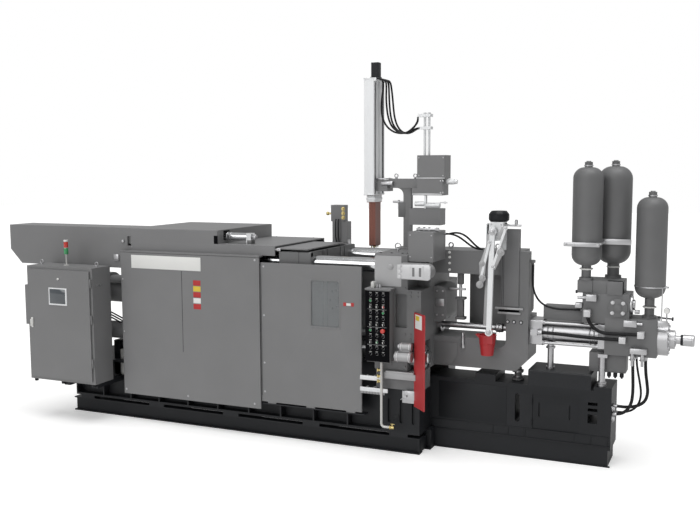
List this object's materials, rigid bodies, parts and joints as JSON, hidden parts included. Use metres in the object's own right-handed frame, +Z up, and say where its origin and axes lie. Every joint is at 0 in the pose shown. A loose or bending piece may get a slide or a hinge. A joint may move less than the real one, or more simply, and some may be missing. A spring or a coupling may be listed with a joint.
{
  "type": "die casting machine",
  "caption": "Large cold chamber die casting machine: toggle clamp unit behind grey guards, injection frame and cylinder, accumulators, spray mast and ladle arm on a black base.",
  "frame": {"origin": "on the floor, on the machine's centreline, under the fixed platen", "axes": "+X along the machine to the injection end, +Y away from the operator, +Z up"},
  "size_m": [9.41, 2.057, 4.829],
  "materials": {
    "panel_grey": "satin",
    "casting_grey": "satin",
    "base_black": "satin",
    "chrome": "polished",
    "steel": "brushed",
    "aluminium": "satin",
    "signal_red": "satin",
    "manifold_brown": "satin",
    "panel_black": "matte",
    "motor_black": "matte",
    "window_clear": "clear",
    "lamp": "gloss",
    "hose_rubber": "matte",
    "pipe_white": "satin"
  },
  "bodies": {
    "machine": {"accumulators": "casting_grey", "base_cover": "base_black", "bed_pads": "base_black", "bed_ribs": "base_black", "c_frame": "casting_grey", "cabinet_bracket": "base_black", "clamp_bed": "base_black", "clamp_skid": "base_black", "closing_cylinder": "casting_grey", "control_cabinet": "panel_grey", "cover_cylinder": "chrome", "cross_beams": "base_black", "cylinder_supports": "steel", "door_rail": "base_black", "end_cap": "steel", "fixed_platen": "casting_grey", "frame_cover": "motor_black", "frame_hose": "hose_rubber", "front_guard": "panel_grey", "hanging_hoses": "hose_rubber", "hose_post": "aluminium", "injection_base": "base_black", "ladle_bracket": "aluminium", "ladle_hoses": "hose_rubber", "ladle_motor": "motor_black", "lift_cover": "panel_grey", "operator_panel": "panel_black", "panel_pipe": "pipe_white", "platen_box": "panel_grey", "platen_units": "steel", "rear_duct": "panel_grey", "rear_guard": "panel_grey", "rear_platen": "casting_grey", "red_guard": "signal_red", "shot_cylinder": "steel", "shot_hoses": "hose_rubber", "shot_sleeve": "steel", "spray_boxes": "panel_grey", "spray_column": "panel_grey", "spray_hoses": "hose_rubber", "tie_bar_nuts": "steel", "tie_bars": "chrome", "top_deck": "panel_grey", "tower_light": "lamp", "valve_block": "casting_grey"},
    "moving_platen": {"moving_platen": "casting_grey", "sliding_plate": "panel_grey", "valve_post": "panel_grey"},
    "safety_door": {"safety_door": "panel_grey", "door_window": "window_clear"},
    "cabinet_door": {"cabinet_door": "panel_grey", "cabinet_screen": "aluminium"},
    "spray_mast": {"spray_mast": "aluminium", "spray_motor": "motor_black", "spray_manifold": "manifold_brown"},
    "ladle_arm": {"ladle_arm": "aluminium"},
    "ladle_cup": {"ladle_cup": "signal_red"},
    "plunger": {"plunger": "steel"}
  },
  "joints": [
    {"name": "platen_slide", "type": "slide", "parent": "machine", "child": "moving_platen", "axis": [1, 0, 0], "range_m": [-0.2, 0.4]},
    {"name": "door_slide", "type": "slide", "parent": "machine", "child": "safety_door", "axis": [1, 0, 0], "range_m": [-1.3, 0]},
    {"name": "cabinet_hinge", "type": "hinge", "parent": "machine", "child": "cabinet_door", "pos_m": [-4.23, -1.215, 1.4], "axis": [0, 0, 1], "range_deg": [0, 110]},
    {"name": "mast_slide", "type": "slide", "parent": "machine", "child": "spray_mast", "axis": [0, 0, 1], "range_m": [-0.9, 0]},
    {"name": "plunger_slide", "type": "slide", "parent": "machine", "child": "plunger", "axis": [1, 0, 0], "range_m": [-0.45, 0]},
    {"name": "ladle_swing", "type": "hinge", "parent": "machine", "child": "ladle_arm", "pos_m": [1.12, -0.5, 2.75], "axis": [0, 1, 0], "range_deg": [-45, 15]},
    {"name": "cup_tilt", "type": "hinge", "parent": "ladle_arm", "child": "ladle_cup", "pos_m": [1.09, -0.5, 1.56], "axis": [0, 1, 0], "range_deg": [-60, 60]}
  ]
}
